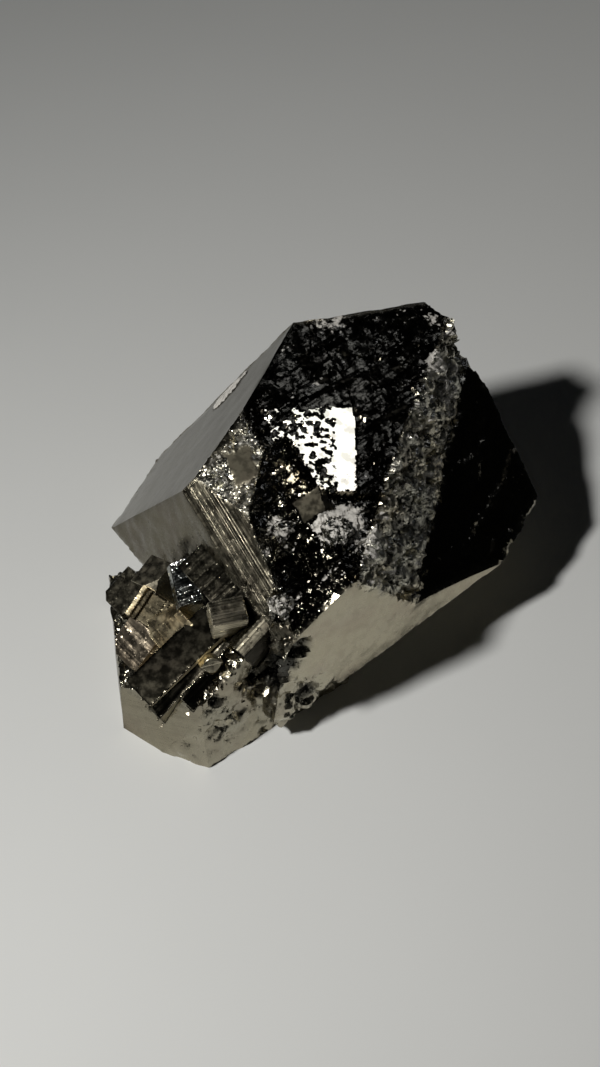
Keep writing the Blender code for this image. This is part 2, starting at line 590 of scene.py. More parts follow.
@dataclass(frozen=True)
class Pyrite:
    """The finish of a pyrite surface.

    The material reads these numbers kept on the mesh: rough, how dull the surface is; hackle, how
    broken it is; shade, painted shade (below 1) and painted light (above 1) on its metal colour;
    quartz, how much pale mineral covers it; lined, how strong its finest growth lines are; and
    across, the place across those lines, mm.
    """

    look: Look
    colour: Triple = (0.55, 0.50, 0.37)
    tarnish: Triple = (0.50, 0.44, 0.33)
    broken: Triple = (0.50, 0.50, 0.45)
    chalk_deep: Triple = (0.13, 0.125, 0.11)
    chalk_pale: Triple = (0.78, 0.75, 0.70)
    greyness: float = 0.8  # how grey its broken parts are
    glitter: float = 0.9  # how far the grains of a broken surface lean
    grain: float = 4.2  # grains per millimetre
    odd_grain: float = 2.6  # how much further the few odd grains lean
    crumb_depth: float = 0.05  # depth of the crumbs on a broken surface, mm
    line_depth: float = 0.05  # depth of the finest growth lines, mm
    chalk_rough: float = 0.5

    def dress(self) -> bpy.types.Material:
        """Lay out the material.

        Returns:
            The node material.
        """
        sheet = NodeSheet(self.look.value)
        hackle = sheet.attribute("hackle")
        fine = sheet.noise(1.6, 5.0, 0.65)
        quartz = sheet.attribute("quartz")
        speck = sheet.math("MULTIPLY", sheet.math("SUBTRACT", fine, 0.5), 2.0)
        pale = sheet.span(sheet.math("ADD", quartz, speck), 0.45, 0.62)
        metal = self.metal(sheet, hackle)
        colour = sheet.mix(pale, metal, self.chalk(sheet, fine, quartz))
        haze = sheet.span(sheet.noise(0.9, 4.0), 0.35, 0.7, 0.85, 1.5)
        rough = sheet.math("MULTIPLY", sheet.attribute("rough"), haze)
        chalky = sheet.math("MULTIPLY", pale, self.chalk_rough)
        inputs = sheet.shader.inputs
        sheet.feed(inputs["Base Color"], colour)
        sheet.feed(inputs["Metallic"], sheet.math("SUBTRACT", 1.0, pale))
        sheet.feed(inputs["Roughness"], sheet.math("MAXIMUM", rough, chalky))
        sheet.feed(inputs["Normal"], self.surface(sheet, hackle))
        return sheet.material

    def metal(self, sheet: NodeSheet, hackle: object) -> bpy.types.NodeSocket:
        """Colour the metal: tarnished in patches, and greyer where it is broken.

        Args:
            sheet: the material's nodes.
            hackle: how broken the surface is.

        Returns:
            The colour.
        """
        stain = sheet.span(sheet.noise(0.22, 4.0), 0.42, 0.68)
        grown = sheet.mix(stain, self.colour, self.tarnish)
        grey = sheet.math("MULTIPLY", hackle, self.greyness)
        # Painted shade and painted light: the metal colour is scaled by the shade kept on the mesh.
        return sheet.vector("SCALE", sheet.mix(grey, grown, self.broken), sheet.attribute("shade"))

    def chalk(self, sheet: NodeSheet, fine: object, quartz: object) -> bpy.types.NodeSocket:
        """Colour the pale mineral: milkier where more of it lies.

        Args:
            sheet: the material's nodes.
            fine: a fine random pattern.
            quartz: how much pale mineral covers the surface.

        Returns:
            The colour.
        """
        milky = sheet.math("ADD", fine, sheet.math("MULTIPLY", quartz, 0.35))
        return sheet.mix(sheet.span(milky, 0.46, 0.95), self.chalk_deep, self.chalk_pale)

    def surface(self, sheet: NodeSheet, hackle: object) -> bpy.types.NodeSocket:
        """Lay out the relief: leaning grains on broken parts, fine growth lines on grown ones.

        Args:
            sheet: the material's nodes.
            hackle: how broken the surface is.

        Returns:
            The shading normal.
        """
        lean = sheet.vector("SUBTRACT", sheet.cells(self.grain), (0.5, 0.5, 0.5))
        lot = sheet.add("ShaderNodeSeparateColor")
        sheet.feed(lot.inputs[0], sheet.cells(self.grain * 0.97))
        few = sheet.math("POWER", lot.outputs[0], 7.0)
        odd = sheet.math("ADD", 0.3, sheet.math("MULTIPLY", self.odd_grain, few))
        amount = sheet.math("MULTIPLY", sheet.math("MULTIPLY", hackle, self.glitter), odd)
        leaning = sheet.vector("SCALE", lean, amount)
        base = sheet.add("ShaderNodeNewGeometry").outputs["Normal"]
        grains = sheet.vector("NORMALIZE", sheet.vector("ADD", base, leaning))
        crumb = sheet.bump(sheet.noise(2.4, 6.0, 0.7), self.crumb_depth, hackle, grains)
        comb = sheet.noise(3.2, 3.0, 0.75, dimensions="1D", W=sheet.attribute("across"))
        return sheet.bump(comb, self.line_depth, sheet.attribute("lined"), crumb)


@dataclass(frozen=True)
class Paper:
    """The pale matt surface that the specimen lies on."""

    name: str = "pale_floor"
    slope: Triple = (0.0020, -0.0012, 0.0)  # painted light falloff: how much paler the paper is painted for each millimetre
    level: float = 0.864  # painted light level under the specimen
    dark: Triple = (0.30, 0.31, 0.31)
    pale: Triple = (0.86, 0.87, 0.86)
    rough: float = 0.7

    def dress(self) -> bpy.types.Material:
        """Lay out the material.

        Returns:
            The node material.
        """
        sheet = NodeSheet(self.name)
        # Painted light falloff: the paper is painted darker towards the back and left.
        slope = sheet.vector("DOT_PRODUCT", sheet.scaled(), self.slope)
        deep = sheet.span(sheet.math("ADD", slope, self.level), 0.3, 1.1)
        soft = sheet.math("MULTIPLY", sheet.noise(0.02, 3.0), 0.06)
        colour = sheet.mix(sheet.math("ADD", deep, soft), self.dark, self.pale)
        sheet.feed(sheet.shader.inputs["Base Color"], colour)
        sheet.feed(sheet.shader.inputs["Roughness"], self.rough)
        return sheet.material


# --------------------------------------------------------------------------- main mass


@dataclass(frozen=True)
class Zone:
    """One face of the main mass, and how its surface is worked.

    Args:
        facing: the direction the face looks in.
        beside: a flat across it; the face's growth lines follow the edge that the two would share.
        rank: which one, counted from the outermost, where two faces look the same way.
        hackle: how broken the surface is, 0 for a growth face and 1 for a fresh break.
        quartz: how much pale mineral covers it, 0 to 1.
        lined: strength of the growth lines, 0 to 1.
        pitch: width of a growth line, mm.
        ridge: height of the growth lines, mm.
        swell: height of the slow unevenness, mm.
        chips: height of the broken plates, mm.
        knob: height of the knobs, mm.
        pit: depth of the pits, mm.
        rough: how dull it is, 0 for a mirror.
        patchy: how far its painted shade comes and goes at random, 0 to 1.
        veins: how much pale mineral runs through it in streaks, 0 to 1.
        shade: painted shade below 1 and painted light above 1, scaling the metal colour of the
            face.
        fine: whether the face is meshed twice as finely.
    """

    facing: Facing
    beside: Facing
    rank: int = 0
    hackle: float = 0.0
    quartz: float = 0.0
    lined: float = 0.0
    pitch: float = 1.0
    ridge: float = 0.0
    swell: float = 0.05
    chips: float = 0.0
    knob: float = 0.0
    pit: float = 0.0
    shade: float = 1.0
    rough: float = 0.18
    patchy: float = 0.0
    veins: float = 0.0
    fine: bool = False


@dataclass(frozen=True)
class Spot:
    """A round patch on the main mass, in millimetres."""

    place: Triple
    radius: float
    amount: float = 1.0

    def share(self, points: np.ndarray) -> Field:
        """Return how far each point lies within it, from 0 outside to its amount in the middle."""
        away = np.linalg.norm(points - np.array(self.place), axis=1)
        return self.amount * smooth_step(self.radius, 0.35 * self.radius, away)


@dataclass(frozen=True)
class Flake:
    """A small even cleavage face within the break.

    Args:
        place: its middle, mm.
        half: half its width and half its length, mm.
        turn: degrees that it is turned about Z.
        tone: painted shade on the flake, scaling its metal colour.
    """

    place: Triple
    half: tuple[float, float]
    turn: float
    tone: float

    def share(self, points: np.ndarray) -> Field:
        """Find the points that lie on the flake.

        Args:
            points: the points, mm.

        Returns:
            1 for each point on it and 0 for each point off it.
        """
        away = points - np.array(self.place)
        turn = math.radians(self.turn)
        wide = np.abs(away[:, 0] * math.cos(turn) + away[:, 1] * math.sin(turn)) / self.half[0]
        long = np.abs(away[:, 1] * math.cos(turn) - away[:, 0] * math.sin(turn)) / self.half[1]
        off = np.maximum(wide, long) + 0.15 * waves(points, 1.5, 25.0)
        return smooth_step(1.08, 0.92, np.maximum(off, np.abs(away[:, 2]) / 2.0))


def covered(spots: tuple[Spot, ...], points: np.ndarray) -> Field:
    """Add up how far each point lies within some spots."""
    return sum(spot.share(points) for spot in spots)


STREAKS = Facing(133.0, 0.0)  # the streaks of the break follow this flat
UP = Facing(90.0, 90.0)
# Each zone's shade is painted shade below 1 and painted light above 1 on its metal colour.
ZONES = {
    Face.MIRROR: Zone(
        Facing(158, 35), Facing(230, 38), lined=0.05, swell=0.03, shade=0.2, rough=0.12,
    ),
    Face.STRIP: Zone(
        Facing(230, 38), Facing(216, 8), lined=0.9, pitch=0.3, ridge=0.03, shade=0.25, rough=0.24,
        fine=True,
    ),
    Face.CORNER: Zone(
        Facing(236, 72), STREAKS, hackle=0.9, quartz=0.33, chips=0.3, knob=0.12, shade=1.2,
        rough=0.25, fine=True,
    ),
    Face.OVERHANG: Zone(
        Facing(216, 8), Facing(230, 38), hackle=0.2, swell=0.3, chips=0.05, shade=0.3, rough=0.25,
    ),
    Face.UNDERCUT: Zone(Facing(213, -35), Facing(230, 38), hackle=0.5, chips=0.25, shade=0.4),
    Face.FRONT: Zone(
        Facing(306, 0), Facing(320, 58), hackle=0.06, swell=0.12, shade=0.9, rough=0.24,
    ),
    Face.BELLY: Zone(Facing(327, -59), Facing(306, 0), hackle=0.4, swell=0.3, chips=0.2, shade=0.7),
    Face.RIGHT_END: Zone(
        Facing(335, -25), Facing(306, 0), hackle=0.5, chips=0.35, swell=0.2, shade=0.7,
    ),
    Face.REAR_RIGHT: Zone(
        Facing(29, 0), UP, hackle=0.05, lined=0.8, pitch=1.6, ridge=0.08, swell=0.2,
    ),
    Face.REAR_CORNER: Zone(Facing(50, 0), UP, hackle=0.6, chips=0.35, swell=0.3, shade=0.7),
    Face.REAR: Zone(Facing(108, 6), UP, hackle=0.05, lined=0.9, pitch=1.3, ridge=0.08, swell=0.25),
    Face.REAR_LEFT: Zone(
        Facing(148, 0), UP, hackle=0.35, lined=0.4, chips=0.2, swell=0.3, shade=0.8,
    ),
    Face.BREAK_CREST: Zone(
        Facing(326, 79), STREAKS, hackle=0.2, lined=0.3, pitch=0.9, ridge=0.06, swell=0.2,
        chips=0.14, shade=0.12, rough=0.12, veins=0.42, fine=True,
    ),
    Face.BREAK_MIDDLE: Zone(
        Facing(313, 71), STREAKS, hackle=0.4, quartz=0.05, chips=0.3, shade=0.12, rough=0.12,
        veins=0.5, fine=True,
    ),
    Face.STEP: Zone(
        Facing(340, 25), STREAKS, hackle=1.0, quartz=0.32, swell=0.1, chips=0.6, knob=1.3,
        shade=1.5, rough=0.3, patchy=0.6, veins=0.45, fine=True,
    ),
    Face.SHOULDER: Zone(
        Facing(320, 58), Facing(340, 25), rank=1, hackle=0.25, lined=0.3, ridge=0.05, chips=0.14,
        swell=0.2, shade=0.3, rough=0.14,
    ),
    Face.HOLLOW_FLOOR: Zone(
        Facing(320, 58), STREAKS, hackle=0.9, quartz=0.15, chips=0.5, knob=0.2, shade=0.3,
        rough=0.12, veins=0.6, fine=True,
    ),
    Face.HOLLOW_WALL: Zone(
        Facing(230, 60), STREAKS, hackle=0.5, quartz=0.05, chips=0.5, knob=0.2, shade=0.08,
        rough=0.1, veins=0.5, fine=True,
    ),
    Face.TERRACE: Zone(
        Facing(200, 62), Facing(220, 12), hackle=0.6, chips=0.25, knob=0.4, shade=0.6, fine=True,
    ),
    Face.STRIATED_FOOT: Zone(
        Facing(234, 17), Facing(200, 62), hackle=0.1, lined=0.7, pitch=0.7, ridge=0.04, shade=0.55,
        rough=0.25,
    ),
    Face.LEFT_WALL: Zone(
        Facing(187, 0), UP, hackle=0.12, lined=0.2, swell=0.1, ridge=0.03, shade=0.27, rough=0.25,
    ),
    Face.TOE: Zone(
        Facing(249, 8), STREAKS, hackle=0.25, knob=0.2, pit=0.6, swell=0.35, shade=0.65, rough=0.25,
        fine=True,
    ),
    Face.PITTED_FRONT: Zone(
        Facing(307, 12), STREAKS, hackle=0.25, knob=0.2, pit=0.6, swell=0.35, shade=0.7, rough=0.25,
        fine=True,
    ),
    Face.NOTCH_SIDE: Zone(Facing(77, 0), UP, hackle=0.4, knob=0.4, pit=0.4, shade=0.6, fine=True),
}

QUARTZ_SPOTS = (
    Spot((1.2, -9.0, 24.0), 4.2, 0.7),
    Spot((3.2, -7.4, 24.2), 2.4, 0.5),
    Spot((-5.4, -9.0, 23.5), 2.4, 0.55),
    Spot((-5.7, -18.0, 19.5), 1.5, 0.6),
    Spot((0.7, 20.6, 28.6), 3.4, 0.55),
    Spot((13.7, 15.6, 25.3), 3.0, 0.35),
    Spot((13.8, 22.5, 26.7), 1.6, 0.55),
    Spot((15.2, 14.5, 21.4), 2.6, 0.3),
    Spot((5.0, -10.5, 23.0), 3.2, 0.3),
)
PLATE_SPOTS = (
    Spot((-13.0, 15.6, 19.1), 2.0),
    Spot((-12.2, 15.9, 20.1), 2.1),
    Spot((-11.3, 16.3, 21.2), 1.8),
    Spot((-10.1, 17.2, 22.5), 0.8),
)
ROUGH_SPOTS = (
    Spot((-5.0, -22.5, 14.0), 5.2),
    Spot((-3.2, -21.5, 5.0), 6.5),
    Spot((-5.5, -18.6, 19.4), 2.4),
    Spot((0.6, -18.6, 2.0), 3.4),
    Spot((-7.5, -21.5, 9.0), 3.5),
    Spot((-12.0, -24.6, 6.0), 4.5, 0.4),
)
ISLAND_SPOTS = (
    Spot((-2.5, 0.8, 26.9), 1.8, 0.6),
    Spot((-4.7, -4.2, 26.4), 1.3, 0.4),
    Spot((-3.0, 5.0, 27.2), 1.2, 0.2),
)
GLINT_SPOTS = (
    Spot((-3.4, -4.0, 25.5), 2.6),
    Spot((-5.2, -2.0, 26.2), 2.4),
    Spot((-11.7, -24.3, 4.9), 0.9, 1.5),
)
CLEAVAGES = (
    Flake((-1.4, -6.5, 25.2), (1.9, 1.5), 25.0, 0.045),
    Flake((-10.0, -2.0, 26.6), (1.5, 2.3), 20.0, 0.2),
)
CAVITIES = (
    Spot((-3.0, -21.0, 15.0), 2.2, 1.8),
    Spot((-4.6, -21.8, 13.2), 2.2, 1.9),
    Spot((-6.4, -21.6, 11.2), 2.8, 2.4),
    Spot((-7.6, -20.8, 9.4), 2.0, 1.5),
    Spot((-2.2, -20.5, 5.0), 1.9, 1.0),
    Spot((-13.3, -24.3, 9.2), 1.1, 0.8),
    Spot((-4.0, -14.0, 21.2), 2.6, 0.7),
)
PLATE_RIM = (0.3, 0.45)  # from bare face to plate


@dataclass
class Skin:
    """The mesh of the main mass while it is worked, and what is known of its points.

    Args:
        piece: the object.
        parts: the faces, in the order of their numbers.
        zone: the number of the face that each point lies on.
        points: where the points lie before the relief, mm.
        normals: which way they look.
        across: place of each across the growth lines of its face, mm.
        along: place of each along them, mm.
    """

    piece: bpy.types.Object
    parts: list[Zone]
    zone: np.ndarray
    points: np.ndarray
    normals: np.ndarray
    across: Field = field(default_factory=lambda: np.zeros(0))
    along: Field = field(default_factory=lambda: np.zeros(0))

    def spread(self, values: Field, rounds: int) -> Field:
        """Blend a field with its neighbours along the edges of the piece.

        Args:
            values: one number for each point.
            rounds: how many times it is blended.

        Returns:
            The blended numbers.
        """
        ends = np.empty(len(self.piece.data.edges) * 2, dtype=np.int64)
        self.piece.data.edges.foreach_get("vertices", ends)
        first, second = ends.reshape(-1, 2).T
        count = np.bincount(ends, minlength=len(values)) + 1.0
        for _ in range(rounds):
            total = values + np.bincount(first, values[second], len(values))
            total += np.bincount(second, values[first], len(values))
            values = total / count
        return values

    def shared(self, key: str, rounds: int = 4) -> Field:
        """Return one property of the faces for all points, blended where faces meet."""
        values = np.array([getattr(part, key) for part in self.parts], dtype=float)
        return self.spread(values[self.zone], rounds)


@dataclass
class Marks:
    """The special places of the main mass: how far each point belongs to them, 0 to 1.

    Args:
        bright: the polished part of the break.
        rise: how far the points in and around it move, mm.
        glint: the small bright spots.
        clefts: the cleavage faces, one after the other.
        cavity: the holes, up to their depth in mm; the holes are also darkened as painted shade.
        torn: the torn corner of the front face.
        plate: the rough plates on the mirror face, raised, with pale colour that is a painted
            highlight.
    """

    bright: Field
    rise: Field
    glint: Field
    clefts: list[Field]
    cavity: Field
    torn: Field
    plate: Field

    def plain(self) -> Field:
        """Return what no cleavage face and no glint takes of each point."""
        return (1.0 - sum(self.clefts)) * (1.0 - self.glint)


@dataclass
class MainMass:
    """The broken main crystal and the mass below it, as one body."""

    node: str = "main_mass"
    detail: int = 7  # each step halves the width of a mesh cell
    near: float = 0.2  # mm, a point closer than this to its face lies on it
    zones: dict[Face, Zone] = field(default_factory=lambda: ZONES)
    coarse_plate: float = 2.6  # mm, a plate of the break
    fine_plate: float = 1.0  # mm
    knob_width: float = 1.7  # mm
    pit_width: float = 1.9  # mm
    plate_height: float = 0.16  # mm, of the rough plates on the mirror face
    stray: float = 0.085  # mm, how far the points of a break leave their rows
    step_stray: float = 0.55  # mm, how far the borders of the step wander
    patch_face: Face = Face.BREAK_CREST
    patch_low: tuple[float, float] = (-7.4, -4.9)  # mm, corner of the bright part of the break
    patch_high: tuple[float, float] = (3.85, 7.7)  # mm
    patch_heart: Triple = (-0.3, 1.0, 26.6)  # mm
    patch_reach: float = 6.6  # mm from the middle to the end of the finest mesh
    patch_slant: float = 0.16  # how its front and rear borders lean
    polished: float = 2.7  # mm, width of its smooth part
    cleft_rough: float = 0.45
    glint_rough: float = 0.3
    patch_rough: float = 0.03
    crease: float = 16.0  # degrees, sharper edges stay hard

    def number(self, face: Face) -> int:
        """Return the number of a face."""
        return list(self.zones).index(face)

    def zone_of(self, points: np.ndarray, normals: np.ndarray) -> np.ndarray:
        """Find the face that each point lies on.

        Args:
            points: the points, mm.
            normals: which way they look.

        Returns:
            The number of a face for each point.
        """
        scores = []
        for zone in self.zones.values():
            flat = flat_of(self.node, zone.facing, zone.rank)
            turned = 1.0 - normals @ np.array(flat.normal)
            scores.append(np.abs(flat.depth(points)) + 0.9 * turned)
        scores[self.number(Face.STEP)] += self.step_stray * waves(points, 2.4, 30.0, 2)
        return np.argmin(np.array(scores), axis=0)

    def flattened(self, points: np.ndarray, zone: np.ndarray) -> np.ndarray:
        """Move the points that are close to their face onto it.

        Args:
            points: the points, mm.
            zone: the number of the face that each lies on.

        Returns:
            The points, mm.
        """
        placed = points.copy()
        for number, part in enumerate(self.zones.values()):
            flat = flat_of(self.node, part.facing, part.rank)
            depth = flat.depth(points)
            here = (zone == number) & (np.abs(depth) < self.near)
            placed[here] += depth[here, None] * np.array(flat.normal)
        return placed

    def across_lines(self, points: np.ndarray, zone: np.ndarray) -> tuple[Field, Field]:
        """Measure the points along the growth lines of their faces.

        Args:
            points: the points, mm.
            zone: the number of the face that each lies on.

        Returns:
            The place of each point across and along the lines, mm.
        """
        across, along = np.zeros(len(points)), np.zeros(len(points))
        for number, part in enumerate(self.zones.values()):
            normal = part.facing.normal()
            line = normal.cross(part.beside.normal()).normalized()
            here = zone == number
            across[here] = points[here] @ np.array(normal.cross(line))
            along[here] = points[here] @ np.array(line)
        return across, along

    def shuffled(self, skin: Skin) -> np.ndarray:
        """Move the points a little within their face where it is broken, so that it shows no rows.

        Args:
            skin: the mesh.

        Returns:
            The points, mm.
        """
        amount = self.stray * smooth_step(0.1, 0.4, skin.shared("hackle", 3))
        move = np.random.default_rng(5).uniform(-1.0, 1.0, skin.points.shape)
        move -= skin.normals * (move * skin.normals).sum(axis=1)[:, None]
        return skin.points + move * amount[:, None]

    def meshed(self) -> Skin:
        """Mesh the CAD node, finely where it is broken and twice as finely at the bright part.

        Returns:
            The mesh, still without relief.
        """
        piece = copy_of_node(self.node, "pyrite_main_mass")
        remesh(piece, self.detail)
        parts = list(self.zones.values())
        zone = self.zone_of(points_of(piece), normals_of(piece))
        is_fine = np.array([part.fine for part in parts])[zone]
        refine(piece, np.array([all(is_fine[face.vertices]) for face in piece.data.polygons]))
        heart = np.array(self.patch_heart)
        away = [np.array(face.center) / MM - heart for face in piece.data.polygons]
        refine(piece, np.array([np.linalg.norm(step) < self.patch_reach for step in away]))
        points, normals = points_of(piece), normals_of(piece)
        zone = self.zone_of(points, normals)
        skin = Skin(piece, parts, zone, self.flattened(points, zone), normals)
        skin.points = self.shuffled(skin)
        skin.across, skin.along = self.across_lines(skin.points, zone)
        return skin

    def build(self) -> bpy.types.Object:
        """Build the main mass.

        Returns:
            The finished piece.
        """
        skin = self.meshed()
        marks = self.marks(skin)
        height = self.height(skin, marks)
        set_points(skin.piece, skin.points + skin.normals * height[:, None])
        self.paint(skin, marks)
        smooth_shading(skin.piece, self.crease)
        return skin.piece

    def marks(self, skin: Skin) -> Marks:
        """Find the special places.

        Args:
            skin: the mesh.

        Returns:
            How far each point belongs to them.
        """
        points = skin.points
        bright, rise = self.patch(points, skin.zone)
        glint = np.clip(covered(GLINT_SPOTS, points), 0.0, 1.5)
        glint = smooth_step(1.0, 1.15, glint + 0.9 * waves(points, 0.6, 23.0, 2)) * (1.0 - bright)
        plate = np.clip(covered(PLATE_SPOTS, points), 0.0, 1.0)
        return Marks(
            bright=bright,
            rise=rise,
            glint=glint,
            clefts=[flake.share(points) * (1.0 - glint) for flake in CLEAVAGES],
            cavity=covered(CAVITIES, points),
            torn=np.clip(covered(ROUGH_SPOTS, points), 0.0, 1.0),
            plate=plate * (skin.zone == self.number(Face.MIRROR)),
        )

    def height(self, skin: Skin, marks: Marks) -> Field:
        """Work out the whole relief.

        Args:
            skin: the mesh.
            marks: its special places.

        Returns:
            How far each point moves outwards, mm.
        """
        height = self.relief(skin)
        height = height * (1.0 - marks.bright) * (1.0 - marks.glint) + marks.rise
        height *= 1.0 - sum(marks.clefts) * (1.0 - marks.bright)
        here = marks.torn > BARELY
        height[here] += marks.torn[here] * self.torn_relief(skin.points[here])
        height -= marks.cavity * (0.75 + 0.35 * waves(skin.points, 1.1, 9.0))
        height += self.plate_height * smooth_step(*PLATE_RIM, marks.plate)
        return height

    def paint(self, skin: Skin, marks: Marks) -> None:
        """Keep on the mesh the numbers that the finish reads.

        Args:
            skin: the mesh.
            marks: its special places.
        """
        points, bright, glint, cavity = skin.points, marks.bright, marks.glint, marks.cavity
        flow = np.stack((skin.across, skin.along / 5.0, np.zeros(len(points))), axis=1)
        quartz = skin.shared("veins") * smooth_step(0.15, 0.75, waves(flow, 1.1, 14.0, 3))
        quartz += skin.shared("quartz") + covered(QUARTZ_SPOTS, points)
        # Painted highlight: pale colour on the raised mirror plates stands in for the glint they
        # show.
        quartz += 0.9 * smooth_step(*PLATE_RIM, marks.plate)
        quartz = quartz * marks.plain() * (1.0 - bright) - 0.8 * cavity
        patchy = smooth_step(-0.45, 0.45, waves(points, 4.5, 16.0, 2))
        hackle = skin.shared("hackle", 2) * (1.0 - bright) * (0.35 + 0.65 * patchy)
        hackle = hackle * marks.plain() + 0.3 * cavity + 0.35 * marks.torn
        # Painted shade: random patches where a face's shade deepens.
        shade_dips = 1.0 - smooth_step(-0.35, 0.35, waves(points, 2.4, 17.0, 2))
        shade = skin.shared("shade", 2) * (1.0 - skin.shared("patchy") * shade_dips)
        rough = skin.shared("rough", 2)
        # Painted shade: the cleavage flakes take their own shade.
        for share, flake in zip(marks.clefts, CLEAVAGES):
            shade = blend(share, shade, flake.tone)
            rough = blend(share, rough, self.cleft_rough)
        # The polished part and the glints drop their face's painted shade; the polished part varies
        # at random.
        cloud = 1.0 - 0.35 * smooth_step(0.0, 0.5, waves(points, 1.6, 26.0, 3))
        shade = blend(bright, blend(glint, shade, 1.0), cloud)
        set_fields(
            skin.piece,
            hackle=np.clip(hackle, 0.0, 1.0),
            # painted shade: the holes are darkened
            shade=shade * (1.0 - 0.8 * np.clip(cavity, 0.0, 1.0)),
            rough=blend(bright, blend(glint, rough, self.glint_rough), self.patch_rough),
            quartz=np.clip(quartz, 0.0, 1.0),
            lined=skin.shared("lined", 2) * (1.0 - bright),
            across=skin.across,
        )

    def torn_relief(self, points: np.ndarray) -> Field:
        """Return the relief of the torn corner of the front face, mm."""
        lumps = 0.9 * waves(points, 3.0, 11.0, 3) + 0.6 * (knobs(points, 1.6, 12.0) - 0.5)
        return lumps - 0.5 * smooth_step(0.1, 0.6, waves(points, 2.0, 13.0, 2)) - 0.2

    def relief(self, skin: Skin) -> Field:
        """Work out the relief of the faces: swell, growth lines, broken plates, knobs and pits.

        Args:
            skin: the mesh.

        Returns:
            How far the surface stands out at each point, mm.
        """
        points = skin.points
        pitch = np.array([part.pitch for part in skin.parts])[skin.zone]
        height = skin.shared("swell") * waves(points, 5.0, 1.0, 3)
        height += skin.shared("ridge", 1) * lines(skin.across / pitch, 1.0, 2.0)
        chips = skin.shared("chips")
        broken = chips > BARELY
        depth = (points * skin.normals).sum(axis=1)
        flow = np.stack((skin.across, skin.along / 2.2, depth), axis=1)[broken]
        coarse = plates(flow, self.coarse_plate, 3.0, 0.45, 0.5)
        fine = plates(flow, self.fine_plate, 4.0, 0.45, 0.25)
        height[broken] += chips[broken] * (coarse + 0.8 * fine)
        knob = skin.shared("knob")
        knobby = knob > BARELY
        height[knobby] += knob[knobby] * (knobs(points[knobby], self.knob_width, 5.0) - 0.6)
        pit = skin.shared("pit")
        pitted = pit > BARELY
        many = smooth_step(-0.2, 0.5, waves(points[pitted], 6.0, 6.0))
        height[pitted] -= pit[pitted] * many * pits(points[pitted], self.pit_width, 6.5)
        return height

    def patch(self, points: np.ndarray, zone: np.ndarray) -> tuple[Field, Field]:
        """Lay out the bright part of the break: a solid strip, and islands that thin out beside it.

        Args:
            points: the points, mm.
            zone: the number of the face that each lies on.

        Returns:
            How polished each point is, 0 to 1, and how far it moves outwards for that, mm.
        """
        (left, front), (right, rear) = self.patch_low, self.patch_high
        near = (zone == self.number(self.patch_face)) | (zone == self.number(Face.BREAK_MIDDLE))
        x = points[:, 0] + 0.12 * waves(points, 1.2, 21.0)
        y = points[:, 1] - self.patch_slant * (points[:, 0] - right)
        x += 0.02 * np.maximum(y - 3.0, 0.0) ** 2
        inside = smooth_step(0.1, -0.1, x - right) * smooth_step(-0.1, 0.1, y - front)
        inside *= smooth_step(0.2, -0.2, y - rear)
        solid = points[:, 0] + 0.35 * waves(points, 1.0, 15.0, 3) - right + self.polished
        net = waves(points, 0.75, 18.0, 3) - 0.16 + 0.035 * (x - left)
        net += covered(ISLAND_SPOTS, points)
        islands = smooth_step(0.0, 0.06, net) * (x > left)
        bright = near * inside * np.maximum(smooth_step(-0.1, 0.1, solid), islands)
        drop = 0.35 * smooth_step(-0.05, 0.15, x - right) * smooth_step(4.0, 1.0, x - right)
        before = 0.6 * smooth_step(0.05, -0.15, y - front) * smooth_step(-4.0, -1.0, y - front)
        away = np.linalg.norm(points - np.array(self.patch_heart), axis=1)
        drop = np.maximum(drop, before) + 0.12 * smooth_step(7.0, 4.0, away)
        level = flat_of(self.node, self.zones[self.patch_face].facing).depth(points)
        return bright, near * (bright * level - (1.0 - bright) * drop)


# --------------------------------------------------------------------------- small crystals


